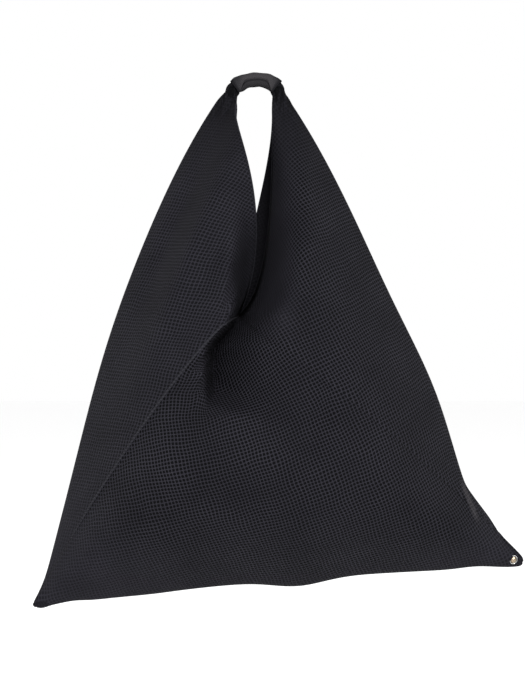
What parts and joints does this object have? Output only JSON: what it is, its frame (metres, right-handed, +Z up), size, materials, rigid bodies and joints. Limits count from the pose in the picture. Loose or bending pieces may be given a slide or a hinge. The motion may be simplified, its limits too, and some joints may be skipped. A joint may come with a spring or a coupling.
{
  "type": "mesh tote bag",
  "caption": "Empty triangular tote of open-hole black spacer mesh, hanging from a short smooth handle sleeve, with rolled hems, two sewn seams and a metal stud at one lower corner.",
  "frame": {"origin": "middle of the flat underside of the handle's crown, where the bag sits on what it hangs from", "axes": "+Z up, +X to the right seen from the front, front towards -Y"},
  "size_m": [0.5632, 0.1382, 0.6152],
  "materials": {
    "mesh": "open-hole spacer mesh, matte",
    "hem": "rolled mesh edge, matte",
    "sleeve": "smooth close-woven tape, satin",
    "stud": "nickel over brass, polished"
  },
  "bodies": {
    "handle": {"handle_sleeve": "sleeve", "handle_core": "mesh"},
    "bag": {"left_ear_tip": "mesh", "right_ear_tip": "mesh", "left_ear_panel": "mesh", "right_ear_panel": "mesh", "base_panel": "mesh", "front_seam_bead": "hem", "back_seam_bead": "hem", "left_front_hem": "hem", "left_back_hem": "hem", "right_front_hem": "hem", "right_back_hem": "hem", "left_corner_pad": "mesh", "right_corner_pad": "mesh", "corner_stud": "stud", "corner_stud_back": "stud"}
  },
  "joints": [
    {"name": "bag_swing", "type": "hinge", "parent": "handle", "child": "bag", "pos_m": [0, 0, -0.012], "axis": [1, 0, 0], "range_deg": [-90, 90]}
  ]
}
